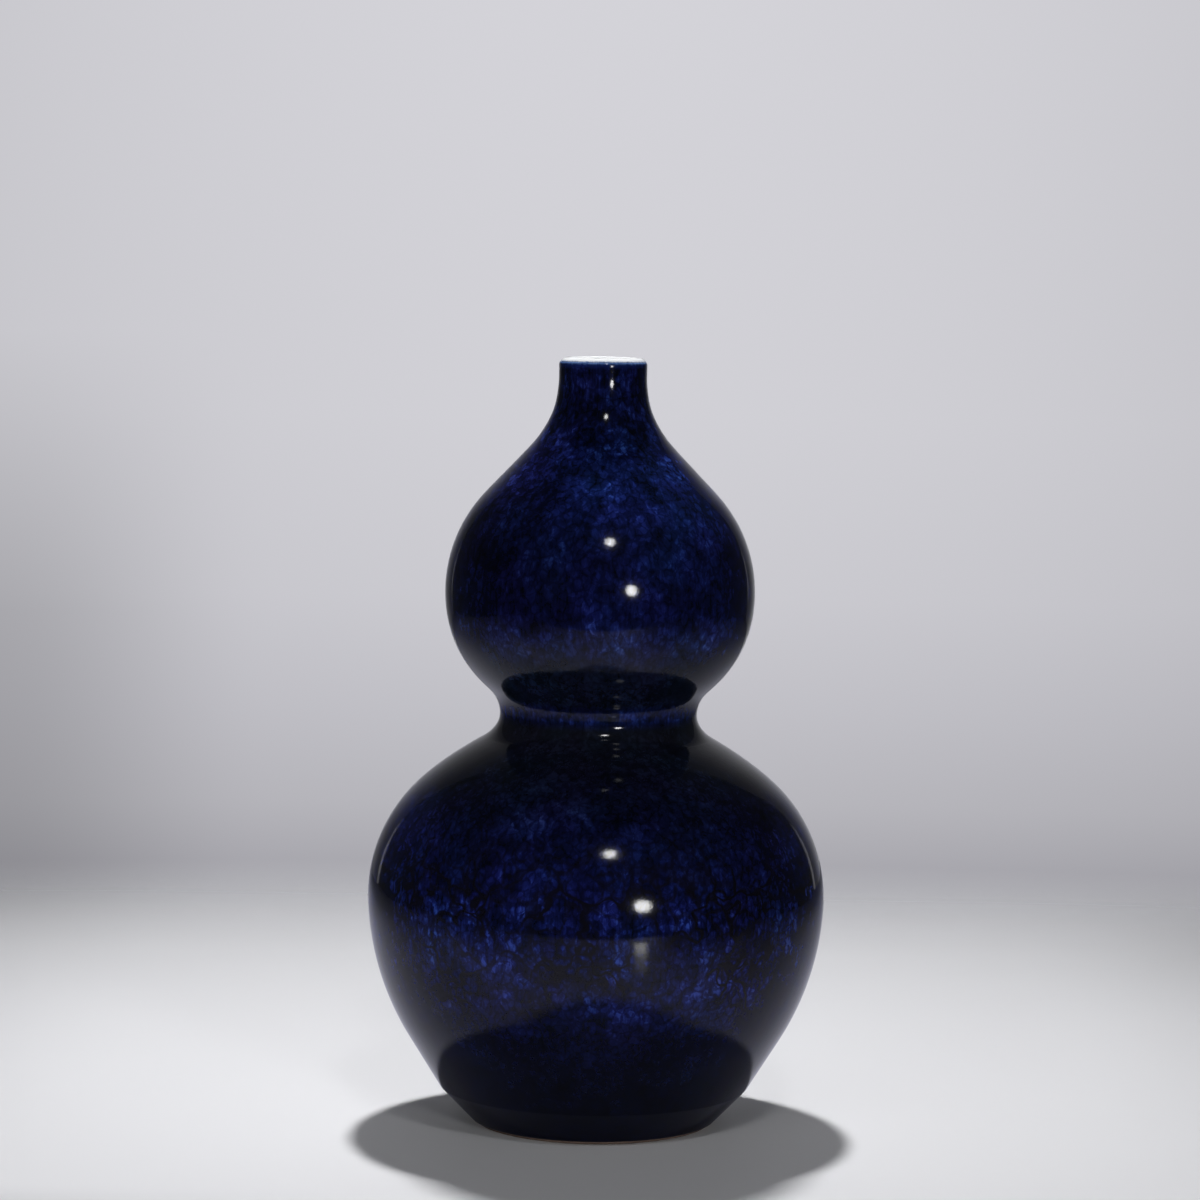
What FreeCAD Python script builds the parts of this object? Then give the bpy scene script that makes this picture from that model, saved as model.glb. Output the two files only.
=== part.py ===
import FreeCAD, Part
import math
import os

# Double gourd vase in blue-glazed porcelain, standing on its foot ring.
# Sizes are in millimetres and angles in degrees. The vase's axis is Z and the floor is z = 0.
# Every outline lies in the half plane of radius x and height z, and runs from the foot up to the mouth.
# The angle of a place on an outline is that of its outward normal, measured up from the horizontal.

Point = FreeCAD.Vector

# Lower bulb: sloping underside, straight flare, wall, belly and shoulder
belly_radius = 98.4
belly_round = 67.1
heel_height = 15.8
heel_round = 2.5
underside_angle = -44.5
flare_length = 25.9
flare_angle = -32.0
wall_round = 119.0
wall_angle = -3.0
shoulder_angle = 49.4
shoulder_round = 144.2

# Hollow waist between the two bulbs
waist_round = 12.4

# Upper bulb: cup below its crown, straight slope above it
crown_rise = 131.4
crown_radius = 66.6
crown_round = 62.2
cup_angle = -8.0
cup_round = 52.2
slope_angle = 43.8

# Neck and mouth
neck_radius = 18.6
neck_round = 41.9
neck_length = 8.6
lip_wall = 4.5
lip_outer_share = 0.7
throat_round = 25.0

# Clay: the wall is the finished one, both glazes included
wall = 4.6
base_thickness = 6.5
inside_corner_round = 22.0

# Foot ring with a recess inside it, and the clay left bare beside its tread
ring_width = 8.0
tread_round = 3.0
ring_round = 1.2
recess_depth = 7.0
recess_angle = -12.0
recess_round = 4.0
bare_foot = 0.8
bare_ring = 0.6

# Glaze: blue outside, white inside and over the lip, white in the recess
glaze = 0.45
white_rim = 1.7

# Seams of clay slip between the thrown sections: a tongue on the lower one stands in a rebate in the next
slip = 0.6
tongue = 3.0
neck_section = 22.0

full_turn = 360.0
half_turn = 180.0
quarter_turn = 90.0
touching = 1e-7


def direction(angle):
    """Unit vector at an angle above the horizontal."""
    turn = math.radians(angle)
    return Point(math.cos(turn), 0, math.sin(turn))


def angle_of(vector):
    return math.degrees(math.atan2(vector.z, vector.x))


def along_wall(angle):
    """Unit vector that runs up the wall where its outward normal has this angle."""
    return direction(angle + quarter_turn)


class Straight:
    """A straight stretch of an outline."""

    def __init__(self, start, end):
        self.start = start
        self.end = end

    def moved_in(self, depth):
        along = (self.end - self.start).normalize()
        shift = Point(-along.z, 0, along.x) * depth
        return Straight(self.start + shift, self.end + shift)

    def at_height(self, height):
        share = (height - self.start.z) / (self.end.z - self.start.z)
        return self.start + (self.end - self.start) * share

    def between(self, low, high):
        start = self.start if self.start.z >= low else self.at_height(low)
        end = self.end if self.end.z <= high else self.at_height(high)
        return Straight(start, end)

    def backwards(self):
        return Straight(self.end, self.start)

    def edge(self):
        return Part.makeLine(self.start, self.end)


class Round:
    """An arc of an outline: it bulges out where its own angle grows, and is hollow where that falls."""

    def __init__(self, centre, radius, start_angle, end_angle):
        self.centre = centre
        self.radius = radius
        self.start_angle = start_angle
        self.end_angle = end_angle
        self.start = centre + direction(start_angle) * radius
        self.end = centre + direction(end_angle) * radius

    def moved_in(self, depth):
        bulges = self.end_angle > self.start_angle
        radius = self.radius - depth if bulges else self.radius + depth
        return Round(self.centre, radius, self.start_angle, self.end_angle)

    def angle_at(self, height):
        rise = math.degrees(math.asin((height - self.centre.z) / self.radius))
        return rise if self.end_angle > self.start_angle else half_turn - rise

    def at_height(self, height):
        return self.centre + direction(self.angle_at(height)) * self.radius

    def between(self, low, high):
        start_angle = self.start_angle if self.start.z >= low else self.angle_at(low)
        end_angle = self.end_angle if self.end.z <= high else self.angle_at(high)
        return Round(self.centre, self.radius, start_angle, end_angle)

    def backwards(self):
        return Round(self.centre, self.radius, self.end_angle, self.start_angle)

    def edge(self):
        middle = direction((self.start_angle + self.end_angle) / 2) * self.radius
        return Part.Arc(self.start, self.centre + middle, self.end).toShape()


def meeting(first_point, first_angle, second_point, second_angle):
    """Where two straight walls cross, each given by a point on it and the angle of its normal."""
    normal = direction(second_angle)
    along = along_wall(first_angle)
    return first_point + along * ((second_point - first_point).dot(normal) / along.dot(normal))


def rounded(corner, angle_before, angle_after, radius):
    """Arc that rounds the corner between two straight walls, given by the angles of their normals."""
    turn = angle_after - angle_before
    reach = radius * math.tan(math.radians(abs(turn) / 2))
    start = corner - along_wall(angle_before) * reach
    if turn > 0:
        return Round(start - direction(angle_before) * radius, radius, angle_before, angle_after)
    centre = start + direction(angle_before) * radius
    return Round(centre, radius, angle_before + half_turn, angle_after + half_turn)


def hollow_between(below, above, radius):
    """Hollow arc that touches the circle of the arc below it and that of the arc above it."""
    span = above.centre - below.centre
    below_reach = below.radius + radius
    above_reach = above.radius + radius
    cosine = (below_reach ** 2 + span.Length ** 2 - above_reach ** 2) / (2 * below_reach * span.Length)
    touch_below = angle_of(span) - math.degrees(math.acos(cosine))
    centre = below.centre + direction(touch_below) * below_reach
    touch_above = angle_of(centre - above.centre)
    return Round(centre, radius, half_turn + touch_below, half_turn + touch_above)


def finished_outside():
    """Glazed outside of the vase, from the floor up to the crest of the lip."""
    heel_run = heel_height / math.tan(math.radians(quarter_turn + underside_angle))

    # The lower bulb is built down from the belly, at its own height, and then set on the floor
    belly_centre = Point(belly_radius - belly_round, 0, 0)
    wall_top = belly_centre + direction(wall_angle) * belly_round
    wall_centre = wall_top - direction(wall_angle) * wall_round
    flare_top = wall_centre + direction(flare_angle) * wall_round
    heel_corner = flare_top - along_wall(flare_angle) * flare_length
    lift = Point(0, 0, heel_height - heel_corner.z)
    heel_corner = heel_corner + lift
    belly_centre = belly_centre + lift
    foot = Point(heel_corner.x - heel_run, 0, 0)
    heel = rounded(heel_corner, underside_angle, flare_angle, heel_round)
    lower_wall = Round(wall_centre + lift, wall_round, flare_angle, wall_angle)
    belly = Round(belly_centre, belly_round, wall_angle, shoulder_angle)
    shoulder_centre = belly.end - direction(shoulder_angle) * shoulder_round
    shoulder = Round(shoulder_centre, shoulder_round, shoulder_angle, quarter_turn)

    crown_centre = Point(crown_radius - crown_round, 0, belly_centre.z + crown_rise)
    crown = Round(crown_centre, crown_round, cup_angle, slope_angle)
    cup_centre = crown.start - direction(cup_angle) * cup_round
    cup = Round(cup_centre, cup_round, -quarter_turn, cup_angle)
    waist = hollow_between(shoulder, cup, waist_round)
    shoulder = Round(shoulder_centre, shoulder_round, shoulder_angle, waist.start_angle - half_turn)
    cup = Round(cup_centre, cup_round, waist.end_angle - half_turn, cup_angle)

    neck_foot = Point(neck_radius, 0, 0)
    neck_corner = meeting(crown.end, slope_angle, neck_foot, 0)
    neck = rounded(neck_corner, slope_angle, 0, neck_round)
    lip_round = lip_wall * lip_outer_share
    lip_centre = neck.end + Point(-lip_round, 0, neck_length - lip_round)
    lip = Round(lip_centre, lip_round, 0, quarter_turn)
    return [
        Straight(foot, heel.start),
        heel,
        Straight(heel.end, lower_wall.start),
        lower_wall,
        belly,
        shoulder,
        waist,
        cup,
        crown,
        Straight(crown.end, neck.start),
        neck,
        Straight(neck.end, lip.start),
        lip,
    ]


def finished_inside(outside):
    """Glazed inside of the vase, from the middle of its floor up to the crest of the lip."""
    flare, lower_wall, belly, shoulder, waist, cup, crown, slope = [
        stretch.moved_in(wall) for stretch in outside[2:10]
    ]
    middle = Point(0, 0, recess_depth + base_thickness + glaze)
    floor_corner = meeting(flare.start, flare_angle, middle, -quarter_turn)
    corner = rounded(floor_corner, -quarter_turn, flare_angle, inside_corner_round)
    crest = outside[-1].end
    mouth_round = lip_wall * (1 - lip_outer_share)
    mouth = Round(crest - Point(0, 0, mouth_round), mouth_round, half_turn, quarter_turn)
    throat_corner = meeting(slope.start, slope_angle, mouth.start, 0)
    throat = rounded(throat_corner, slope_angle, 0, throat_round)
    return [
        Straight(middle, corner.start),
        corner,
        Straight(corner.end, lower_wall.start),
        lower_wall,
        belly,
        shoulder,
        waist,
        cup,
        crown,
        Straight(crown.end, throat.start),
        throat,
        Straight(throat.end, mouth.start),
        mouth,
    ]


def moved_in(outline, depth):
    return [stretch.moved_in(depth) for stretch in outline]


def backwards(outline):
    return [stretch.backwards() for stretch in reversed(outline)]


def between(outline, low, high):
    """The part of a rising outline between two heights."""
    kept = [stretch for stretch in outline if stretch.end.z > low + touching]
    kept = [stretch for stretch in kept if stretch.start.z < high - touching]
    return [stretch.between(low, high) for stretch in kept]


def radius_at(outline, height):
    stretch = between(outline, height, outline[-1].end.z)[0]
    return stretch.start.x


def turned(*outlines):
    """Solid turned about the axis from outlines joined end to end, with straight lines across the gaps."""
    stretches = [stretch for outline in outlines for stretch in outline]
    edges = []
    here = stretches[-1].end
    for stretch in stretches:
        if (stretch.start - here).Length > touching:
            edges.append(Part.makeLine(here, stretch.start))
        edges.append(stretch.edge())
        here = stretch.end
    face = Part.Face(Part.Wire(edges))
    return face.revolve(Point(0, 0, 0), Point(0, 0, 1), full_turn)


def starting_edge(clay_point, angle):
    """Rounded edge with which a glaze coat starts, on clay whose normal has this angle."""
    centre = clay_point + along_wall(angle) * glaze
    return Round(centre, glaze, angle - quarter_turn, angle)


def ending_edge(clay_point, angle):
    """Rounded edge with which a glaze coat ends, on clay whose normal has this angle."""
    centre = clay_point - along_wall(angle) * glaze
    return Round(centre, glaze, angle, angle + quarter_turn)


def foot_outline(clay_underside):
    """Bare clay under the base: recess, inner side of the foot ring, and tread, out to the underside."""
    floor = Point(0, 0, 0)
    tread_corner = meeting(clay_underside.start, underside_angle, floor, -quarter_turn)
    inner_corner = tread_corner - Point(ring_width, 0, 0)
    ceiling = Point(0, 0, recess_depth)
    side_angle = recess_angle - half_turn
    recess_corner = meeting(inner_corner, side_angle, ceiling, -quarter_turn)
    recess = rounded(recess_corner, -quarter_turn, side_angle, recess_round)
    inner_edge = rounded(inner_corner, side_angle, -quarter_turn, ring_round)
    outer_edge = rounded(tread_corner, -quarter_turn, underside_angle, tread_round)
    return [
        Straight(ceiling, recess.start),
        recess,
        Straight(recess.end, inner_edge.start),
        inner_edge,
        Straight(inner_edge.end, outer_edge.start),
        outer_edge,
    ]


class Seam:
    """Stepped joint at a height, filled with slip."""

    def __init__(self, height, outer, inner):
        self.outer = outer
        self.inner = inner
        self.below = height - slip / 2
        self.above = height + slip / 2
        middle_height = height + tongue / 2
        self.middle = (radius_at(outer, middle_height) + radius_at(inner, middle_height)) / 2

    def step(self, height, radius):
        """Step from the outside of the wall to its inside, up over the tongue."""
        start = Point(radius_at(self.outer, height), 0, height)
        foot = Point(radius, 0, height)
        top = Point(radius, 0, height + tongue)
        end = Point(radius_at(self.inner, height + tongue), 0, height + tongue)
        return [Straight(start, foot), Straight(foot, top), Straight(top, end)]

    def top_of_lower(self):
        return self.step(self.below, self.middle - slip / 2)

    def foot_of_upper(self):
        return self.step(self.above, self.middle + slip / 2)


def slip_ring(seam):
    """Slip that fills a seam, flush with both sides of the clay wall."""
    outer = between(seam.outer, seam.below, seam.above)
    inner = between(seam.inner, seam.below + tongue, seam.above + tongue)
    return turned(outer, seam.foot_of_upper(), backwards(inner), backwards(seam.top_of_lower()))


def clay_section(lower, upper):
    """Thrown section of the wall between two seams."""
    outer = between(upper.outer, lower.above, upper.below)
    inner = between(upper.inner, lower.above + tongue, upper.below + tongue)
    return turned(outer, upper.top_of_lower(), backwards(inner), backwards(lower.foot_of_upper()))


def main():
    outside = finished_outside()
    inside = finished_inside(outside)
    clay_outside = moved_in(outside, glaze)
    clay_inside = moved_in(inside, -glaze)
    foot = foot_outline(clay_outside[0])
    clay_outside[0] = Straight(foot[-1].end, clay_outside[0].end)
    crest_height = outside[-1].end.z
    belly = outside[4]
    waist = outside[6]
    crown = outside[8]

    seams = [
        Seam(belly.centre.z, clay_outside, clay_inside),
        Seam(waist.centre.z, clay_outside, clay_inside),
        Seam(crown.centre.z, clay_outside, clay_inside),
        Seam(crest_height - neck_section, clay_outside, clay_inside),
    ]
    belly_seam, waist_seam, crown_seam, neck_seam = seams
    parts = {}

    # Thrown sections of the body
    parts["base_bowl"] = turned(
        foot,
        between(clay_outside, foot[-1].end.z, belly_seam.below),
        belly_seam.top_of_lower(),
        backwards(between(clay_inside[1:], clay_inside[0].end.z, belly_seam.below + tongue)),
        backwards(clay_inside[:1]),
    )
    parts["lower_shoulder"] = clay_section(belly_seam, waist_seam)
    parts["upper_cup"] = clay_section(waist_seam, crown_seam)
    parts["upper_shoulder"] = clay_section(crown_seam, neck_seam)
    parts["neck"] = turned(
        between(clay_outside, neck_seam.above, crest_height),
        backwards(between(clay_inside, neck_seam.above + tongue, crest_height)),
        backwards(neck_seam.foot_of_upper()),
    )

    # Slip in the seams
    parts["belly_slip"] = slip_ring(belly_seam)
    parts["waist_slip"] = slip_ring(waist_seam)
    parts["crown_slip"] = slip_ring(crown_seam)
    parts["neck_slip"] = slip_ring(neck_seam)

    # Glaze coats, with rounded edges where they stop short of the bare tread
    glaze_top = crest_height - white_rim
    blue_foot = clay_outside[0].at_height(foot[-1].end.z + bare_foot)
    blue_edge = starting_edge(blue_foot, underside_angle)
    parts["blue_glaze"] = turned(
        [blue_edge],
        between(outside, blue_edge.end.z, glaze_top),
        backwards(between(clay_outside, blue_foot.z, glaze_top)),
    )
    parts["white_lining"] = turned(
        between(outside, glaze_top, crest_height),
        backwards(inside),
        clay_inside,
        backwards(between(clay_outside, glaze_top, crest_height)),
    )
    recess_side = foot[2]
    recess_foot = recess_side.at_height(recess_side.end.z + bare_ring)
    recess_edge = ending_edge(recess_foot, recess_angle - half_turn)
    clay_recess = foot[:2] + [Straight(recess_side.start, recess_foot)]
    glazed_recess = moved_in(foot[:2], -glaze)
    glazed_side = Straight(glazed_recess[-1].end, recess_edge.start)
    parts["base_glaze"] = turned(glazed_recess, [glazed_side, recess_edge], backwards(clay_recess))

    os.makedirs("parts", exist_ok=True)
    for name, shape in parts.items():
        shape.exportStep("parts/" + name + ".step")
        print(name, "valid" if shape.isValid() else "not valid", round(shape.Volume), "cubic mm")
    print("height", round(crest_height, 2), "foot radius", round(outside[0].start.x, 2))
    print("waist radius", round(waist.centre.x - waist.radius, 2))


main()
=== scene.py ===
import math

import bmesh
import bpy
from mathutils import Matrix, Vector, noise


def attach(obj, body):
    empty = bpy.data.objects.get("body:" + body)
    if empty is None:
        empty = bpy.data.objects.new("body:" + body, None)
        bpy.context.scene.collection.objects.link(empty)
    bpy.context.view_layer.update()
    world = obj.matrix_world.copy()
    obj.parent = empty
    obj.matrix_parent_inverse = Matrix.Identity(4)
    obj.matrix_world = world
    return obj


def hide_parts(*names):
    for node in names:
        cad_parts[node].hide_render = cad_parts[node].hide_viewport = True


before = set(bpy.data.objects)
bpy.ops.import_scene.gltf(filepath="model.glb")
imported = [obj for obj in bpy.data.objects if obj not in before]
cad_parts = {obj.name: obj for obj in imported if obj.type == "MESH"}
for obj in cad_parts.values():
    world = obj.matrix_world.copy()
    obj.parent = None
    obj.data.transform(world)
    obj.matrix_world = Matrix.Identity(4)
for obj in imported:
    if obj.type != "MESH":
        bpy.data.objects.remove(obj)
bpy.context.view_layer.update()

# The glaze coats of the double gourd vase, the finish of its solids, and the table, lamps and camera around them.
# Lengths are in metres, except in the outline and where a comment says millimetres. The vase's axis is Z.

MM = 0.001

# Outline of the vase, in millimetres, from the same values as its solids. A stretch is a straight line or an arc, and
# the angle of a place on it is that of its outward normal, in degrees above the horizontal.

belly_radius, belly_round = 98.4, 67.1
heel_height, heel_round, underside_angle = 15.8, 2.5, -44.5
flare_length, flare_angle = 25.9, -32.0
wall_round, wall_angle = 119.0, -3.0
shoulder_angle, shoulder_round = 49.4, 144.2
waist_round = 12.4
crown_rise, crown_radius, crown_round = 131.4, 66.6, 62.2
cup_angle, cup_round, slope_angle = -8.0, 52.2, 43.8
neck_radius, neck_round, neck_length = 18.6, 41.9, 8.6
lip_wall, lip_outer_share, throat_round = 4.5, 0.7, 25.0
wall, inside_floor, inside_corner_round = 4.6, 13.95, 22.0
glaze, glaze_foot, white_rim = 0.45, 1.7, 1.7


def clamped(value):
    return min(1.0, max(0.0, value))


def direction(angle):
    return Vector((math.cos(math.radians(angle)), math.sin(math.radians(angle))))


def angle_of(v):
    return math.degrees(math.atan2(v.y, v.x))


def along_wall(angle):
    return direction(angle + 90)


class Straight:
    def __init__(self, start, end):
        self.start, self.end = start, end
        self.angle = angle_of(end - start) - 90

    def moved_in(self, depth):
        shift = direction(self.angle) * -depth
        return Straight(self.start + shift, self.end + shift)

    def places(self, step):
        count = max(1, math.ceil((self.end - self.start).length / step))
        return [(self.start.lerp(self.end, i / count), self.angle) for i in range(count + 1)]


class Round:
    LARGEST_TURN = 6

    def __init__(self, centre, radius, first, last):
        self.centre, self.radius, self.first, self.last = centre, radius, first, last
        self.start = centre + direction(first) * radius
        self.end = centre + direction(last) * radius

    def moved_in(self, depth):
        bulges = self.last > self.first
        return Round(self.centre, self.radius + (-depth if bulges else depth), self.first, self.last)

    def places(self, step):
        turn = self.last - self.first
        length = abs(math.radians(turn)) * self.radius
        count = max(2, math.ceil(length / step), math.ceil(abs(turn) / self.LARGEST_TURN))
        angles = [self.first + turn * i / count for i in range(count + 1)]
        flip = 0 if turn > 0 else 180
        return [(self.centre + direction(a) * self.radius, a - flip) for a in angles]


def meeting(p1, a1, p2, a2):
    """Place where two straight walls meet, each given by a place on it and its angle."""
    normal, along = direction(a2), along_wall(a1)
    return p1 + along * ((p2 - p1).dot(normal) / along.dot(normal))


def rounded(corner, before, after, radius):
    """Arc that rounds a corner between walls at two angles."""
    start = corner - along_wall(before) * (radius * math.tan(math.radians(abs(after - before) / 2)))
    if after > before:
        return Round(start - direction(before) * radius, radius, before, after)
    return Round(start + direction(before) * radius, radius, before + 180, after + 180)


def hollow_between(below, above, radius):
    """Hollow arc that touches two bulging ones."""
    span = above.centre - below.centre
    low, high = below.radius + radius, above.radius + radius
    cosine = (low ** 2 + span.length ** 2 - high ** 2) / (2 * low * span.length)
    touch = angle_of(span) - math.degrees(math.acos(cosine))
    centre = below.centre + direction(touch) * low
    return Round(centre, radius, 180 + touch, 180 + angle_of(centre - above.centre))


def finished_outside():
    belly_centre = Vector((belly_radius - belly_round, 0))
    wall_top = belly_centre + direction(wall_angle) * belly_round
    wall_centre = wall_top - direction(wall_angle) * wall_round
    heel = wall_centre + direction(flare_angle) * wall_round - along_wall(flare_angle) * flare_length
    lift = Vector((0, heel_height - heel.y))
    heel, belly_centre, wall_centre = heel + lift, belly_centre + lift, wall_centre + lift
    foot = Vector((heel.x - heel_height / math.tan(math.radians(90 + underside_angle)), 0))
    heel = rounded(heel, underside_angle, flare_angle, heel_round)
    lower_wall = Round(wall_centre, wall_round, flare_angle, wall_angle)
    belly = Round(belly_centre, belly_round, wall_angle, shoulder_angle)
    shoulder_centre = belly.end - direction(shoulder_angle) * shoulder_round
    shoulder = Round(shoulder_centre, shoulder_round, shoulder_angle, 90)
    crown_centre = Vector((crown_radius - crown_round, belly_centre.y + crown_rise))
    crown = Round(crown_centre, crown_round, cup_angle, slope_angle)
    cup_centre = crown.start - direction(cup_angle) * cup_round
    cup = Round(cup_centre, cup_round, -90, cup_angle)
    waist = hollow_between(shoulder, cup, waist_round)
    shoulder = Round(shoulder_centre, shoulder_round, shoulder_angle, waist.first - 180)
    cup = Round(cup_centre, cup_round, waist.last - 180, cup_angle)
    neck = rounded(meeting(crown.end, slope_angle, Vector((neck_radius, 0)), 0), slope_angle, 0, neck_round)
    lip_round = lip_wall * lip_outer_share
    lip = Round(neck.end + Vector((-lip_round, neck_length - lip_round)), lip_round, 0, 90)
    return [
        Straight(foot, heel.start), heel, Straight(heel.end, lower_wall.start), lower_wall, belly, shoulder,
        waist, cup, crown, Straight(crown.end, neck.start), neck, Straight(neck.end, lip.start), lip,
    ]


def finished_inside(outside):
    flare, lower_wall, belly, shoulder, waist, cup, crown, slope = [s.moved_in(wall) for s in outside[2:10]]
    middle = Vector((0, inside_floor))
    corner = rounded(meeting(flare.start, flare_angle, middle, -90), -90, flare_angle, inside_corner_round)
    crest = outside[-1].end
    mouth_round = lip_wall * (1 - lip_outer_share)
    mouth = Round(crest - Vector((0, mouth_round)), mouth_round, 180, 90)
    throat = rounded(meeting(slope.start, slope_angle, mouth.start, 0), slope_angle, 0, throat_round)
    return [
        Straight(middle, corner.start), corner, Straight(corner.end, lower_wall.start), lower_wall, belly,
        shoulder, waist, cup, crown, Straight(crown.end, throat.start), throat,
        Straight(throat.end, mouth.start), mouth,
    ]


def rows_of(stretches, step, low=-1.0, high=1000.0):
    """Places along stretches between two heights, as (radius, height, angle of the outward normal)."""
    nearest, margin = 1e-5, 1e-6
    rows = []
    for stretch in stretches:
        for place, angle in stretch.places(step):
            if not rows or (place - rows[-1][0]).length > nearest:
                rows.append((place, angle))
    cut = [rows[0]]
    for (p, a), (q, b) in zip(rows, rows[1:]):
        for edge in (low, high):
            if (p.y - edge) * (q.y - edge) < 0:
                t = (edge - p.y) / (q.y - p.y)
                cut.append((p.lerp(q, t), a + (b - a) * t))
        cut.append((q, b))
    return [(p.x, p.y, a) for p, a in cut if low - margin <= p.y <= high + margin]


def softened(rows, reach, low, high):
    """The same rows with their bends eased over `reach` millimetres between two heights, as a thrown wall has them."""
    ends, neighbours = 8, 12
    soft = []
    for i, (r, z, angle) in enumerate(rows):
        share = clamped((z - low) / ends) * clamped((high - z) / ends)
        total, place = 0.0, Vector((0, 0))
        for other_r, other_z, _ in rows[max(0, i - neighbours):i + neighbours + 1]:
            gap = math.hypot(other_r - r, other_z - z) / reach
            weight = math.exp(-gap * gap / 2)
            total += weight
            place += Vector((other_r, other_z)) * weight
        soft.append((Vector((r, z)).lerp(place / total, share), angle))
    result = [(*soft[0][0], soft[0][1])]
    for (a, _), (b, angle), (c, _) in zip(soft, soft[1:], soft[2:]):
        eased = angle_of(c - a) - 90
        result.append((*b, eased if low + ends < b.y < high - ends else angle))
    result.append((*soft[-1][0], soft[-1][1]))
    return result


# Steps that the photographed outline takes outward as it goes down: how far, from this height, to this height
NECK_STEPS = ((0.25, 329.4, 327.0), (0.10, 322, 316), (-0.18, 316, 307), (0.09, 307, 299), (-0.26, 299, 286))
# Places where it lies further in: how far, at what height, within what reach
WAIST_DIPS = ((0.33, 174.8, 4.2), (0.2, 161, 5))


def hand_drawn(z):
    """How far the photographed outline lies outside the true one. It does at the neck, and lies inside it at the waist
    and below."""
    shift = 0.0
    for amount, high, low in NECK_STEPS:
        u = clamped((high - z) / (high - low))
        shift += amount * u * u * (3 - 2 * u)
    for amount, height, reach in WAIST_DIPS:
        shift -= amount * math.exp(-((z - height) / reach) ** 2)
    return shift


outside = finished_outside()
inside = finished_inside(outside)
crest = outside[-1].end.y
glaze_top = crest - white_rim

# Meshes of the coats


# Ripples of the hand-finished surface, in millimetres: how deep, how long, and where their pattern starts
RIPPLES = ((0.20, 41, (3.1, 7.7, 1.3)), (0.035, 15, (11.0, 2.5, 5.2)))
# They stop short of the foot and the lip, and come in over a rise from there. Round the waist they lose a share.
STILL_FOOT, FOOT_RISE, STILL_LIP, LIP_RISE = 3, 14, 4, 18
WAIST_LOSS, WAIST_HEIGHT, WAIST_REACH = 0.85, 168, 16


def waviness(x, y, z):
    """How far the hand-finished glaze lies under its true outline, in millimetres."""
    p = Vector((x, y, z))
    depth = 0.0
    for deep, long, start in RIPPLES:
        depth += deep * (0.5 + 0.5 * noise.noise(p / long + Vector(start)))
    ends = clamped((z - STILL_FOOT) / FOOT_RISE) * clamped((crest - STILL_LIP - z) / LIP_RISE)
    waist = 1 - WAIST_LOSS * math.exp(-((z - WAIST_HEIGHT) / WAIST_REACH) ** 4)
    return depth * ends * waist


def turned(name, rows, around, wavy=0):
    """Closed surface turned about the axis through rows of (radius, height, angle), in millimetres and degrees. The
    first `wavy` rows ripple. Rows that end on the axis close there, and otherwise the last row joins the first."""
    on_axis = 1e-6
    verts, rings = [], []
    for k, (r, z, angle) in enumerate(rows):
        if r < on_axis:
            rings.append([len(verts)])
            verts.append((0, 0, z * MM))
            continue
        n = direction(angle)
        ring = []
        for i in range(around):
            a = math.tau * i / around
            c, s = math.cos(a), math.sin(a)
            depth = waviness(r * c, r * s, z) if k < wavy else 0.0
            rippled = r - n.x * depth
            ring.append(len(verts))
            verts.append((rippled * c * MM, rippled * s * MM, (z - n.y * depth) * MM))
        rings.append(ring)
    pairs = list(zip(rings, rings[1:]))
    if len(rings[0]) > 1 and len(rings[-1]) > 1:
        pairs.append((rings[-1], rings[0]))
    faces = []
    for low, high in pairs:
        for i in range(around):
            j = (i + 1) % around
            if len(low) == 1:
                faces.append((low[0], high[j], high[i]))
            elif len(high) == 1:
                faces.append((low[i], low[j], high[0]))
            else:
                faces.append((low[i], low[j], high[j], high[i]))
    mesh = bpy.data.meshes.new(name)
    mesh.from_pydata(verts, [], faces)
    mesh.validate()
    mesh.polygons.foreach_set("use_smooth", [True] * len(mesh.polygons))
    mesh.update()
    bm = bmesh.new()
    bm.from_mesh(mesh)
    bmesh.ops.recalc_face_normals(bm, faces=bm.faces)
    bm.to_mesh(mesh)
    bm.free()
    piece = bpy.data.objects.new(name, mesh)
    bpy.context.scene.collection.objects.link(piece)
    return piece


# Materials


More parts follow.
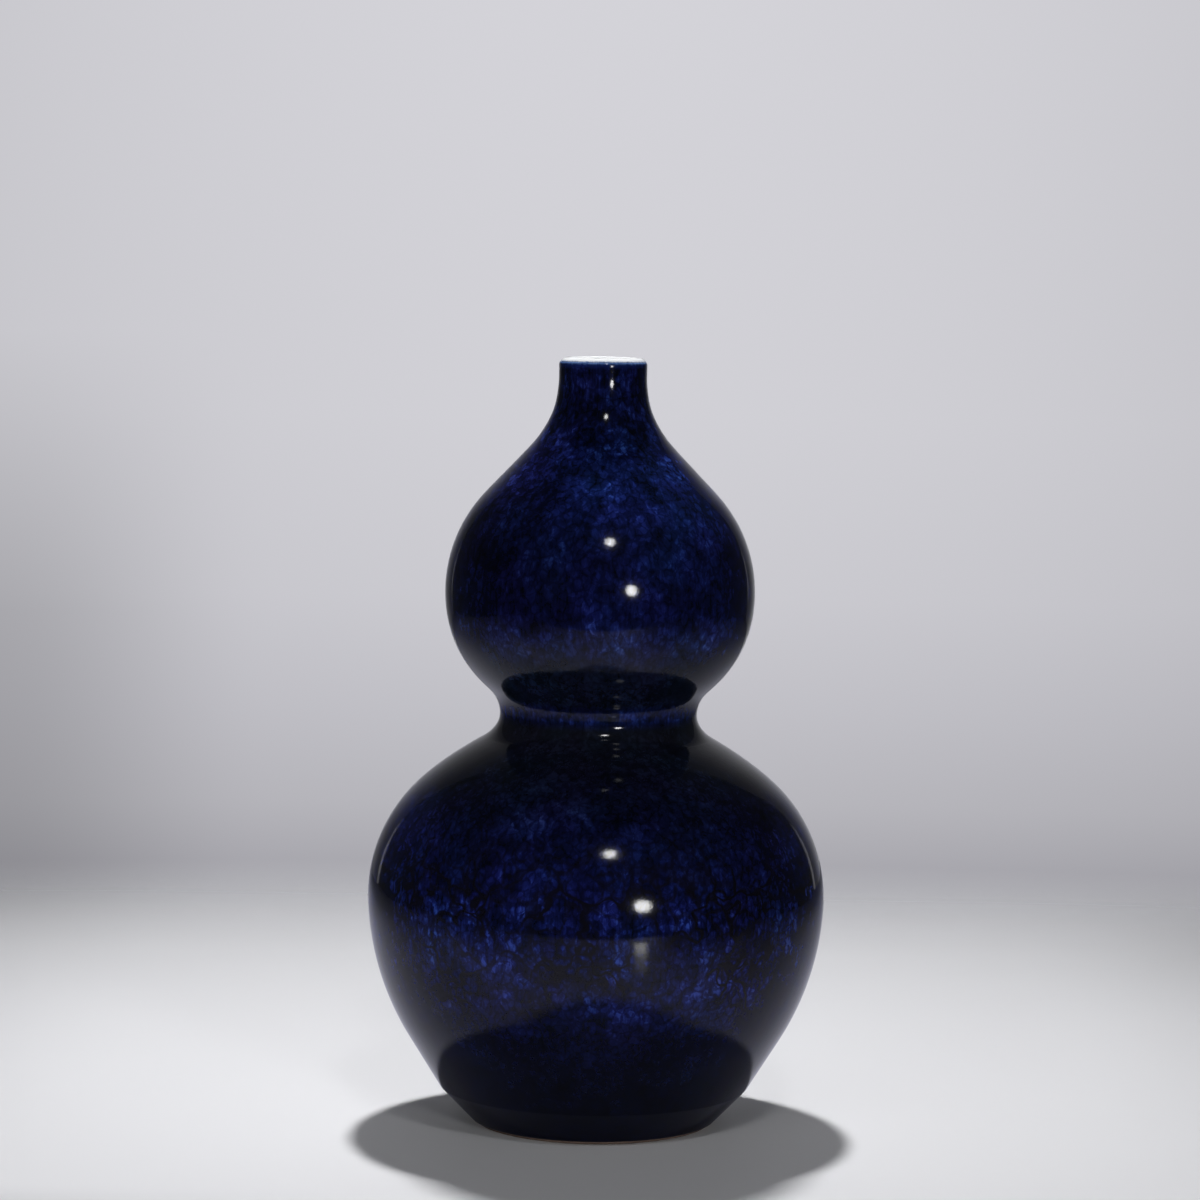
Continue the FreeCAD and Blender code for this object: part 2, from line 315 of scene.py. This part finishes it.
class Graph:
    """Short way to write the nodes of a material, a lamp or the world."""

    def __init__(self, owner, source="TexCoord", output="Object"):
        self.owner = owner
        owner.use_nodes = True
        self.tree = owner.node_tree
        self.tree.nodes.clear()
        self.place = self.add(source).outputs[output]

    def add(self, kind, inputs=None, **settings):
        node = self.tree.nodes.new("ShaderNode" + kind)
        for key, value in settings.items():
            setattr(node, key, value)
        for key, value in (inputs or {}).items():
            if isinstance(value, bpy.types.NodeSocket):
                self.tree.links.new(value, node.inputs[key])
            else:
                node.inputs[key].default_value = value
        return node

    def axes(self):
        return self.add("SeparateXYZ", {0: self.place}).outputs

    def math(self, operation, a, b=0.0, c=0.0):
        return self.add("Math", {0: a, 1: b, 2: c}, operation=operation).outputs[0]

    def product(self, *values):
        result = values[0]
        for value in values[1:]:
            result = self.math("MULTIPLY", result, value)
        return result

    def around_axis(self):
        x, y, _ = self.axes()
        return self.math("SQRT", self.math("ADD", self.product(x, x), self.product(y, y)))

    def scaled(self, sizes, shift=(0, 0, 0)):
        """Object coordinates divided by sizes in millimetres."""
        scale = tuple(1 / (s * MM) for s in sizes)
        node = self.add("Mapping", {"Vector": self.place, "Scale": scale, "Location": shift})
        return node.outputs[0]

    def wander(self, sizes, shift, detail):
        """A random move that changes from place to place."""
        node = self.add("TexNoise", {"Vector": self.scaled(sizes, shift), "Scale": 1.0, "Detail": detail})
        return self.add("VectorMath", {0: node.outputs["Color"], 1: (0.5, 0.5, 0.5)}, operation="SUBTRACT").outputs[0]

    def warped(self, sizes, shift, move, by):
        """Object coordinates divided by sizes in millimetres, then moved by a part of a random move."""
        part = self.add("VectorMath", {0: move, "Scale": by}, operation="SCALE").outputs[0]
        return self.add("VectorMath", {0: self.scaled(sizes, shift), 1: part}, operation="ADD").outputs[0]

    def noise(self, vector, detail=2.0, roughness=0.5):
        node = self.add("TexNoise", {"Vector": vector, "Scale": 1.0, "Detail": detail, "Roughness": roughness})
        return node.outputs["Fac"]

    def ramp(self, value, stops):
        node = self.add("ValToRGB", {"Fac": value})
        elements = node.color_ramp.elements
        while len(elements) < len(stops):
            elements.new(0.5)
        for element, (position, colour) in zip(elements, stops):
            element.position = position
            element.color = (*colour, 1)
        return node.outputs["Color"]

    def by_height(self, stops):
        """Ramp over the vase's height, with stops of (height in millimetres, colour or number)."""
        tall = 330
        return self.ramp(self.math("DIVIDE", self.axes()[2], tall * MM), [
            (z / tall, value if isinstance(value, tuple) else (value, value, value)) for z, value in stops])

    def between(self, value, low, high, to_low=0.0, to_high=1.0, smooth=True):
        node = self.add("MapRange", {"Value": value, "From Min": low, "From Max": high, "To Min": to_low,
                                     "To Max": to_high})
        node.interpolation_type = "SMOOTHSTEP" if smooth else "LINEAR"
        return node.outputs["Result"]

    def mix(self, factor, a, b, blend="MIX"):
        """Two colours mixed. They are the node's sockets 6 and 7, and its output 2."""
        node = self.add("Mix", data_type="RGBA", blend_type=blend)
        for key, value in ((0, factor), (6, a), (7, b)):
            if isinstance(value, bpy.types.NodeSocket):
                self.tree.links.new(value, node.inputs[key])
            else:
                node.inputs[key].default_value = value if key == 0 else (*value, 1)
        return node.outputs[2]

    def dimmed(self, colour, red, green, blue):
        """The colour with its red, green and blue multiplied."""
        share = self.add("CombineXYZ", {0: red, 1: green, 2: blue}).outputs[0]
        return self.mix(1.0, colour, share, "MULTIPLY")

    def shade(self, colour, roughness, bump=None, strength=0.2, distance=0.0001, **sockets):
        """The material with this finish, and a bump of this strength and depth in metres where one is given."""
        inputs = {"Base Color": colour, "Roughness": roughness, **sockets}
        if bump is not None:
            inputs["Normal"] = self.add("Bump", {"Height": bump, "Strength": strength,
                                                 "Distance": distance}).outputs[0]
        shader = self.add("BsdfPrincipled", inputs)
        self.add("OutputMaterial", {"Surface": shader.outputs[0]})
        return self.owner


def material_graph(name):
    return Graph(bpy.data.materials.new(name))


LIP_WHITE = (0.90, 0.91, 0.92)
THIN_BLUE = (0.012, 0.03, 0.16)
VEIN_BLUE = (0.0022, 0.0020, 0.0040)

# Shades that the blue takes at the lip before the white: where each starts and is full, in millimetres above the top
# of the blue coat, and its largest share
LIP_SHADES = ((-3.4, -0.8, 0.25, (0.02, 0.05, 0.30)), (-1.3, 0.3, 1.0, (0.12, 0.24, 0.56)))
LIP_CLEARS = (-0.35, 0.75, 1.0)
DRIP_SIZES, DRIP_HEIGHT = (1.1, 1.1, 6.0), 1.1

# Heights in millimetres at which the veins start and are full, from below and from above
VEIN_HEIGHTS = ((42, 62), (150, 108))

BLUES = (
    (0.0, (0.0007, 0.0011, 0.0048)),
    (0.25, (0.0011, 0.0018, 0.0110)),
    (0.5, (0.0020, 0.0034, 0.0265)),
    (0.75, (0.0042, 0.0080, 0.0640)),
    (1.0, (0.0140, 0.0290, 0.1700)),
)
HUES = ((0.36, (1.14, 0.94, 1.02)), (0.5, (1.0, 1.0, 1.0)), (0.66, (0.92, 1.14, 0.98)))

# How strongly the glaze runs and how strong its mottle is, by height in millimetres
RUNS = ((0, 0.2), (60, 0.2), (95, 0.7), (135, 0.3), (175, 0.4), (179.5, 1.1), (190, 0.8), (225, 0.8), (250, 0.2),
        (285, 0.4), (305, 1.1))
MOTTLE = ((0, 0.5), (45, 0.65), (62, 1.0), (76, 1.2), (100, 1.2), (116, 0.9), (140, 0.88), (160, 0.55), (175, 0.4),
          (178, 1.0), (184, 0.6), (203, 0.5), (210, 0.95), (226, 0.84), (250, 0.86), (275, 1.0))

# Lightness of the glaze by height in millimetres, with its shares of red and green. It is greyer round the waist. Much
# of
# this is painted light: the shoulder below the waist, which lies in the upper bulb's shade, and the underside of the
# upper bulb are painted lighter and greyer, to make up for that shade and as a painted reflection. Towards the foot
# the glaze is darker.
LIGHTEST = 3.0
LEVELS_WITH_PAINTED_LIGHT = (
    (0, 0.34, 1.4, 1.5), (32, 0.44, 1.4, 1.5), (50, 0.66, 1.2, 1.2), (72, 1.6, 1, 1), (100, 1.75, 1, 1.05),
    (118, 1.72, 1, 1), (135, 1.2, 1.2, 1.15), (148, 0.8, 2.2, 1.8), (158, 0.62, 3.6, 2.8), (168, 0.55, 5.0, 3.6),
    (174.5, 0.5, 5.4, 4.0), (176.5, 1.2, 1.8, 1.6), (178, 2.4, 1.0, 1.2), (181, 2.4, 1.1, 1.2), (183, 1.1, 1.6, 1.5),
    (185.5, 0.68, 3.2, 2.9), (202, 0.58, 3.7, 3.1), (206, 1.2, 1.7, 1.6), (213, 1.85, 1.5, 1.4), (225, 1.16, 1.1, 1),
    (250, 1.03, 1.1, 1), (290, 1.0, 1.1, 1), (305, 1.2, 1.1, 1.1),
)

# Places where the glaze pooled thinner and is paler, and places where it is darker, with the distances at which that
# starts and is full, and its share of red, green and blue there
PALE_SPOTS = ((0.019, -0.048, 0.272), (-0.045, 0.026, 0.262), (0.034, 0.042, 0.268))
PALE_REACH, PALE_SHARE = (0.052, 0.014), (1.9, 2.5, 2.1)
DARK_SPOTS = ((-0.056, -0.042, 0.244), (0.078, -0.060, 0.118), (0.02, 0.09, 0.11), (-0.01, 0.066, 0.23))
DARK_REACH, DARK_SHARE = (0.066, 0.015), (0.78, 0.72, 0.68)


def lip_fade(g, blue, white):
    """Up at the lip the blue brightens and thins, over a few millimetres, to pale blue and then to white."""
    drips = g.math("SUBTRACT", g.noise(g.scaled(DRIP_SIZES), 2.0, 0.6), 0.5)
    lifted = g.math("ADD", g.axes()[2], g.product(drips, DRIP_HEIGHT * MM))
    colour = blue
    for start, full, most, shade in (*LIP_SHADES, (*LIP_CLEARS, white)):
        share = g.between(lifted, (glaze_top + start) * MM, (glaze_top + full) * MM, 0.0, most)
        colour = g.mix(share, colour, shade)
    return colour


def near(g, spots, reach):
    """One close to any of the spots, nought away from them."""
    total = None
    for spot in spots:
        away = g.add("VectorMath", {0: g.place, 1: spot}, operation="DISTANCE").outputs["Value"]
        share = g.between(away, *reach)
        total = share if total is None else g.math("MAXIMUM", total, share)
    return total


def cobalt(g):
    """Mottled cobalt glaze: fine speckle that runs on steep walls, darker veins on the belly."""
    bend = g.wander((5, 5, 5), (0, 0, 0), 2.0)
    drift = g.wander((11, 11, 11), (7, 2, 5), 1.0)
    ragged = g.math("SUBTRACT", g.noise(g.scaled((2.4, 2.4, 3.0), (2, 8, 3)), 2.0, 0.6), 0.5)

    def lines(sizes, by, width, rough, shift):
        """One along the lines between wandering cells, nought inside them."""
        node = g.add("TexVoronoi", {"Vector": g.warped(sizes, shift, drift, by), "Scale": 1.0, "Randomness": 1.0},
                     feature="DISTANCE_TO_EDGE")
        return g.between(g.math("MULTIPLY_ADD", ragged, rough, node.outputs["Distance"]), width, width * 0.3)

    blotches = g.noise(g.warped((3.8, 3.8, 5.0), (0, 0, 0), bend, 0.6), 3.0, 0.55)
    flecks = g.noise(g.scaled((1.6, 1.6, 2.2), (5, 1, 9)), 1.0, 0.6)
    grains = g.add("TexVoronoi", {"Vector": g.warped((2.5, 2.5, 3.3), (4, 4, 1), bend, 0.9), "Scale": 1.0})
    patches = g.noise(g.warped((12, 12, 13), (1, 5, 3), bend, 0.6), 1.0, 0.5)
    clouds = g.noise(g.scaled((30, 30, 24), (2, 4, 1)), 2.0, 0.5)
    net = lines((3.6, 3.6, 4.6), 1.3, 0.15, 0.6, (0, 0, 0))
    runs = g.noise(g.scaled((1.6, 1.6, 12), (4, 2, 6)), 2.0, 0.6)

    amount = 0.5
    for value, middle, share in (
            (blotches, 0.5, 0.9), (flecks, 0.5, 0.3), (grains.outputs["Color"], 0.5, 0.36), (patches, 0.5, 0.75),
            (clouds, 0.5, 0.6), (net, 0.25, -0.2), (runs, 0.5, g.by_height(RUNS))):
        amount = g.math("MULTIPLY_ADD", g.math("SUBTRACT", value, middle), share, amount)
    amount = g.math("MULTIPLY_ADD", g.math("SUBTRACT", amount, 0.5), g.by_height(MOTTLE), 0.5)
    blue = g.ramp(amount, BLUES)
    blue = g.mix(1.0, blue, g.ramp(g.noise(g.scaled((24, 24, 30), (3, 9, 4)), 2.0, 0.6), HUES), "MULTIPLY")

    height = g.axes()[2]
    patchy = g.between(g.noise(g.scaled((34, 34, 26), (8, 3, 6)), 1.0), 0.34, 0.48)
    wide = g.product(lines((25, 25, 23), 1.1, 0.072, 0.07, (3, 1, 2)), 0.97)
    small = g.product(lines((11, 11, 12), 0.9, 0.10, 0.16, (6, 6, 1)), 0.7)
    belly = g.product(*(g.between(height, start * MM, full * MM) for start, full in VEIN_HEIGHTS))
    blue = g.mix(g.product(g.math("MAXIMUM", wide, small), belly, patchy), blue, VEIN_BLUE)

    # Lightness by height, partly painted light, and then the paler and darker spots
    tone_and_painted_light = g.by_height([(z, (v / LIGHTEST * red, v / LIGHTEST * green, v / LIGHTEST)) for z, v, red, green in LEVELS_WITH_PAINTED_LIGHT])
    for spots, reach, share in ((PALE_SPOTS, PALE_REACH, PALE_SHARE), (DARK_SPOTS, DARK_REACH, DARK_SHARE)):
        tone_and_painted_light = g.mix(near(g, spots, reach), tone_and_painted_light, g.mix(1.0, tone_and_painted_light, share, "MULTIPLY"))
    blue = g.mix(1.0, blue, tone_and_painted_light, "MULTIPLY")
    return g.add("VectorMath", {0: blue, "Scale": LIGHTEST}, operation="SCALE").outputs[0]


def cobalt_material():
    g = material_graph("cobalt glaze")
    peel = g.noise(g.scaled((2.2, 2.2, 2.2)), 4.0, 0.65)
    return g.shade(lip_fade(g, cobalt(g), LIP_WHITE), 0.06, peel, 0.22, 0.0001, IOR=1.265)


def white_material():
    """White glaze, which takes the blue of the coat beside it on the outer side of the lip."""
    g = material_graph("white glaze")
    specks = g.noise(g.scaled((9, 9, 9)), 3.0, 0.5)
    white = g.ramp(specks, [(0.3, (0.86, 0.88, 0.90)), (0.7, (0.91, 0.92, 0.93))])
    outer_lip = (neck_radius - lip_wall * lip_outer_share) * MM
    outer = g.between(g.around_axis(), outer_lip, outer_lip + 0.4 * MM)
    peel = g.noise(g.scaled((4, 4, 4)), 2.0, 0.5)
    return g.shade(g.mix(outer, white, lip_fade(g, THIN_BLUE, white)), 0.08, peel, 0.2, 0.00005, IOR=1.5)


def recess_material():
    g = material_graph("recess glaze")
    specks = g.noise(g.scaled((6, 6, 6)), 3.0, 0.5)
    white = g.ramp(specks, [(0.3, (0.68, 0.70, 0.72)), (0.7, (0.78, 0.80, 0.81))])
    peel = g.noise(g.scaled((4, 4, 4)), 2.0, 0.5)
    return g.shade(white, 0.1, peel, 0.2, 0.00005, IOR=1.5)


def clay_material(name, dark, light):
    g = material_graph(name)
    grain = g.noise(g.scaled((0.8, 0.8, 0.8)), 3.0, 0.6)
    stain = g.noise(g.scaled((7, 7, 7), (1, 2, 3)), 2.0, 0.5)
    tone = g.math("MULTIPLY_ADD", grain, 0.5, g.product(stain, 0.5))
    return g.shade(g.ramp(tone, [(0.35, dark), (0.65, light)]), 0.75, grain, 0.4, 0.0001)


# Pieces

# Faces round each coat, and in millimetres its steps along the outline, the easing of its bends, and how far its
# hidden side stays off the clay
COAT_AROUND, LINING_AROUND = 320, 256
OUTER_STEP, INNER_STEP, LIP_STEP, BACK_STEP = 1.1, 2.4, 0.35, 6.0
BEND_REACH, SOFT_FROM, SOFT_TO = 2.4, 30.0, 312.0
OFF_CLAY = 0.02

coat_depth = glaze - OFF_CLAY
outer = softened(rows_of(outside, OUTER_STEP, glaze_foot, glaze_top), BEND_REACH, SOFT_FROM, SOFT_TO)
outer = [(r + hand_drawn(z), z, angle) for r, z, angle in outer]
under = [stretch.moved_in(coat_depth) for stretch in outside]
coat_back = rows_of(under, BACK_STEP, glaze_foot, glaze_top)
blue_coat = turned("cobalt_coat", outer + coat_back[::-1], COAT_AROUND, wavy=len(outer))

lip_rows = rows_of(outside, LIP_STEP, glaze_top)
lip_back = rows_of(under, LIP_STEP, glaze_top)
lining_rows = rows_of(inside, INNER_STEP)
lining_back = rows_of([stretch.moved_in(-coat_depth) for stretch in inside], BACK_STEP)
lining = turned("white_lining_coat",
                lining_rows + lip_rows[::-1][1:] + lip_back + lining_back[::-1][1:], LINING_AROUND)

blue_coat.data.materials.append(cobalt_material())
lining.data.materials.append(white_material())
for piece, node, slot in ((blue_coat, "blue_glaze", "blue_glaze"), (lining, "white_lining", "white_glaze")):
    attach(piece, "root")
    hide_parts(node)

# The bare clay is painted darker than it is, partly as painted shade at the foot ring
porcelain = clay_material("fired clay", (0.13, 0.08, 0.055), (0.22, 0.15, 0.11))
slip = clay_material("clay slip", (0.50, 0.45, 0.38), (0.60, 0.54, 0.46))
for material, names in (
        (porcelain, ("base_bowl", "lower_shoulder", "upper_cup", "upper_shoulder", "neck")),
        (slip, ("belly_slip", "waist_slip", "crown_slip", "neck_slip")),
        (recess_material(), ("base_glaze",))):
    for name in names:
        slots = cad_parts[name].data.materials
        if not slots:
            slots.append(material)
        for index in range(len(slots)):
            slots[index] = material

# Table and backdrop

FRONT, BACK, SIDE, WALL_SIDE, TOP = -0.50, 1.0, 0.92, 0.8, 3.0
# Distances over which the table fades for the camera
FADE_ACROSS, FADE_BEHIND, FADE_IN_FRONT = (0.45, 0.85), (0.40, 0.72), (-0.36, -0.48)
# Painted shade: distances over which it grows darker, with the lightness at both, and its front corners with what they
# lose
DIM_IN_FRONT, DIM_BEHIND, DIM_ACROSS = (-0.20, -0.34, 1.0, 0.74), (0.15, 0.62, 1.0, 0.92), (0.22, 0.55, 1.0, 0.45)
CORNERS_IN_FRONT, CORNERS_ACROSS, CORNERS_LOSE = (-0.13, -0.22), (0.06, 0.34), 0.55
# The same for other rays than the camera's, such as those that the vase mirrors, with how much bluer it is for them:
# painted shade and tint seen only in reflections, darkest round the foot as a painted contact shadow
MIRRORED_IN_FRONT, MIRRORED_RIGHT = (-0.10, -0.155, 0.72, 1.0), (0.08, 0.30, 1.0, 0.75)
MIRRORED_FOOT, MIRRORED_BLUE = (0.048, 0.072, 0.5, 1.0), 1.14
# The same for the backdrop, which is painted shade
WALL_ACROSS, WALL_UP, WALL_RIGHT = (0.28, 0.75, 1.0, 0.30), (0.9, 2.2, 1.0, 0.7), (-0.4, 0.4, 0.88, 1.2)


def panel(name, corners, material):
    mesh = bpy.data.meshes.new(name)
    mesh.from_pydata(corners, [], [(0, 1, 2, 3)])
    mesh.materials.append(material)
    piece = bpy.data.objects.new(name, mesh)
    bpy.context.scene.collection.objects.link(piece)
    return piece


def floor_material():
    """Pale table top. For the camera it fades into the pale surroundings before it ends, and is clear from below.
    It has painted shade: it is darker away from the vase. For other rays, such as those that the vase mirrors, it is
    also darker near the vase and on the right, and a little bluer, a painted shade and tint seen only in reflections."""
    g = material_graph("table")
    x, y, _ = g.axes()
    across = g.math("ABSOLUTE", x)
    seen = g.add("LightPath").outputs["Is Camera Ray"]
    gone = g.math("MAXIMUM", g.between(across, *FADE_ACROSS), g.between(y, *FADE_BEHIND))
    gone = g.math("MAXIMUM", gone, g.between(y, *FADE_IN_FRONT))
    below = g.add("NewGeometry").outputs["Backfacing"]
    clear = g.product(g.math("MAXIMUM", gone, below), seen)
    # Painted shade: darker away from the vase and in the front corners
    corners = g.product(g.between(y, *CORNERS_IN_FRONT), g.between(across, *CORNERS_ACROSS))
    light = g.product(g.between(y, *DIM_IN_FRONT), g.between(y, *DIM_BEHIND), g.between(across, *DIM_ACROSS),
                      g.math("MULTIPLY_ADD", corners, -CORNERS_LOSE, 1.0))
    # Painted shade and tint for mirrored rays only: darker near the vase, on the right and round the foot, and bluer
    mirrored = g.product(g.between(y, *MIRRORED_IN_FRONT), g.between(x, *MIRRORED_RIGHT),
                         g.between(g.around_axis(), *MIRRORED_FOOT))
    light = g.product(light, g.math("MAXIMUM", mirrored, seen))
    bluer = g.product(light, g.between(seen, 0.0, 1.0, MIRRORED_BLUE, 1.0))
    mottle = g.noise(g.scaled((300, 300, 300)), 2.0, 0.5)
    tone = g.ramp(mottle, [(0.3, (0.80, 0.80, 0.825)), (0.7, (0.815, 0.815, 0.84))])
    paint = g.add("BsdfPrincipled", {"Base Color": g.dimmed(tone, light, light, bluer), "Roughness": 0.6,
                                     "Specular IOR Level": 0.2})
    see_through = g.add("BsdfTransparent")
    both = g.add("MixShader", {0: clear, 1: paint.outputs[0], 2: see_through.outputs[0]})
    g.add("OutputMaterial", {"Surface": both.outputs[0]})
    return g.owner


def backdrop_material():
    """Pale wall with painted shade: it is darker at its sides and up high, and on the left more than on the right."""
    g = material_graph("backdrop")
    x, _, z = g.axes()
    tone = g.ramp(g.noise(g.scaled((400, 400, 400))), [(0.3, (0.78, 0.78, 0.81)), (0.7, (0.80, 0.80, 0.83))])
    light = g.product(g.between(g.math("ABSOLUTE", x), *WALL_ACROSS), g.between(z, *WALL_UP),
                      g.between(x, *WALL_RIGHT))
    return g.shade(g.dimmed(tone, light, light, light), 0.8)


panel("table_top", [(-SIDE, FRONT, 0), (SIDE, FRONT, 0), (SIDE, BACK, 0), (-SIDE, BACK, 0)], floor_material())
backdrop = panel("backdrop", [(-WALL_SIDE, BACK, 0), (WALL_SIDE, BACK, 0), (WALL_SIDE, BACK, TOP),
                              (-WALL_SIDE, BACK, TOP)], backdrop_material())
backdrop.visible_camera = False

# Lamps


def lamp(name, place, aim, power, size, size_y=None):
    """Lamp of so many watts, round, or oblong where it has two sizes."""
    data = bpy.data.lights.new(name, "AREA")
    data.energy = power
    data.size = size
    data.shape = "DISK" if size_y is None else "RECTANGLE"
    if size_y is not None:
        data.size_y = size_y
    piece = bpy.data.objects.new(name, data)
    piece.location = place
    piece.rotation_mode = "QUATERNION"
    piece.rotation_quaternion = (Vector(aim) - Vector(place)).to_track_quat("-Z", "Y")
    bpy.context.scene.collection.objects.link(piece)
    return piece


HIGH_PLACE, HIGH_AIM, HIGH_SIZE = (0.288, -1.816, 2.03), (0, 0, 0.19), 0.27
LOW_PLACE, LOW_AIM, LOW_SIZE = (1.006, -2.37, 0.53), (0, 0, 0.17), 0.36

overhead = lamp("overhead", (-0.035, 0.46, 1.40), (-0.06, -0.03, 0.0), 5.0, 0.11)
overhead.data.spread = math.radians(95)
lamp("high_lamp", HIGH_PLACE, HIGH_AIM, 6.8, HIGH_SIZE)
lamp("low_lamp", LOW_PLACE, LOW_AIM, 15.0, LOW_SIZE)
fill = lamp("fill", (-1.3, -1.9, 0.55), LOW_AIM, 9.5, 1.2)
for soft in (overhead, fill):
    soft.visible_glossy = False

# These are only mirrored: the bright cores of the two lamps, and their glare off the table in front of the vase
high_glint = lamp("high_glint", HIGH_PLACE, HIGH_AIM, 30.0, HIGH_SIZE)
low_glint = lamp("low_glint", LOW_PLACE, LOW_AIM, 45.0, LOW_SIZE)
glare = lamp("glare", (0.0655, -0.20, 0.030), (0.0278, -0.114, 0.0642), 4.43e-4, 0.036, 0.075)
glare.data.spread = math.radians(40)
for glint in (high_glint, low_glint, glare):
    glint.visible_diffuse = False
    glint.visible_camera = False


# Strength of the glare off its middle, as two distances with the share at both, and up it, as heights with strengths
GLARE_MIDDLE, GLARE_SIDES = 0.0657, (0.003, 0.0125, 1.0, 0.0)
GLARE_FAINT, GLARE_BRIGHT, GLARE_TOP = (0.010, 0.036, 0.0, 1.9), (0.037, 0.056, 0.0, 7.6), (0.058, 0.062, 1.0, 0.0)


def soften_glare():
    """Makes the glare fade to its sides and downward, and end softly at its top."""
    g = Graph(glare.data, "NewGeometry", "Position")
    x, _, z = g.axes()
    off = g.math("ABSOLUTE", g.math("SUBTRACT", x, GLARE_MIDDLE))
    along = g.math("ADD", g.between(z, *GLARE_FAINT), g.between(z, *GLARE_BRIGHT))
    strength = g.product(along, g.between(z, *GLARE_TOP), g.between(off, *GLARE_SIDES))
    g.add("OutputLight", {"Surface": g.add("Emission", {"Strength": strength}).outputs[0]})


soften_glare()

# Surroundings, as colours by how far the view rises: the foot of the wall is darkest, a painted shade

SKY_LOW, SKY_HIGH = -0.2, 0.1
SKY = (
    (-0.175, (0.59, 0.59, 0.63)), (-0.160, (0.46, 0.46, 0.49)), (-0.151, (0.405, 0.40, 0.435)),
    (-0.136, (0.475, 0.47, 0.505)), (-0.112, (0.535, 0.53, 0.57)), (-0.085, (0.595, 0.59, 0.63)),
    (-0.04, (0.635, 0.63, 0.67)), (0.06, (0.655, 0.65, 0.69)),
)
# Its lightness at the edges of the view, a painted shade, and down in the left corner, a painted shadow
EDGE, EDGE_LIGHT = 0.15, 0.90
CORNER_LEFT, CORNER_DOWN, CORNER_LIGHT = (-0.08, -0.15), (-0.02, -0.09), 0.74
# The dim light of the room, which is weakest straight above, and how far ahead a ray points that goes on past the vase
ROOM_COLOUR, ROOM_LIGHT = (0.9, 0.95, 1.0, 1), (0.78, 0.95, 0.04, 0.012)
AHEAD = 0.8


def surroundings():
    """A pale wall for the camera and for mirrored and refracted rays that go on past the vase, and a dim room. The
    wall's colours hold painted shade: darkest at its foot, darker at the edges of the view, and a painted shadow in
    its lower left corner.
    """
    g = Graph(bpy.data.worlds.new("room"), output="Generated")
    side, ahead, rise = g.axes()
    span = g.between(rise, SKY_LOW, SKY_HIGH, smooth=False)
    sky = g.ramp(span, [((height - SKY_LOW) / (SKY_HIGH - SKY_LOW), colour) for height, colour in SKY])
    off = g.math("POWER", g.math("DIVIDE", side, EDGE), 2.0)
    corner = g.product(g.between(side, *CORNER_LEFT), g.between(rise, *CORNER_DOWN, smooth=False))
    strength = g.product(g.between(off, 0.0, 1.0, 1.0, EDGE_LIGHT, smooth=False),
                         g.between(corner, 0.0, 1.0, 1.0, CORNER_LIGHT, smooth=False))
    wall_seen = g.add("Background", {"Color": sky, "Strength": strength})
    room = g.add("Background", {"Color": ROOM_COLOUR, "Strength": g.between(rise, *ROOM_LIGHT)})
    rays = g.add("LightPath").outputs
    behind = g.math("GREATER_THAN", ahead, AHEAD)
    past = g.product(g.math("MAXIMUM", rays["Is Glossy Ray"], rays["Is Transmission Ray"]), behind)
    pale = g.math("MAXIMUM", rays["Is Camera Ray"], past)
    both = g.add("MixShader", {0: pale, 1: room.outputs[0], 2: wall_seen.outputs[0]})
    g.add("OutputWorld", {"Surface": both.outputs[0]})
    return g.owner


bpy.context.scene.world = surroundings()

# Camera, with its focal length in pixels of the photograph and its tilt and roll in degrees

PICTURE, FOCAL, SENSOR = 1200, 4000, 36
EYE, LOOKS_DOWN, ROLL = (0, -1.7097, 0.3737), 4.935, 0.8

camera = bpy.data.cameras.new("camera")
camera.sensor_width = SENSOR
camera.lens = SENSOR * FOCAL / PICTURE
eye = bpy.data.objects.new("camera", camera)
turn = Matrix.Rotation(math.radians(90 - LOOKS_DOWN), 4, "X") @ Matrix.Rotation(math.radians(ROLL), 4, "Z")
eye.matrix_world = Matrix.Translation(EYE) @ turn
bpy.context.scene.collection.objects.link(eye)
bpy.context.scene.camera = eye
bpy.context.scene.view_settings.view_transform = "Standard"
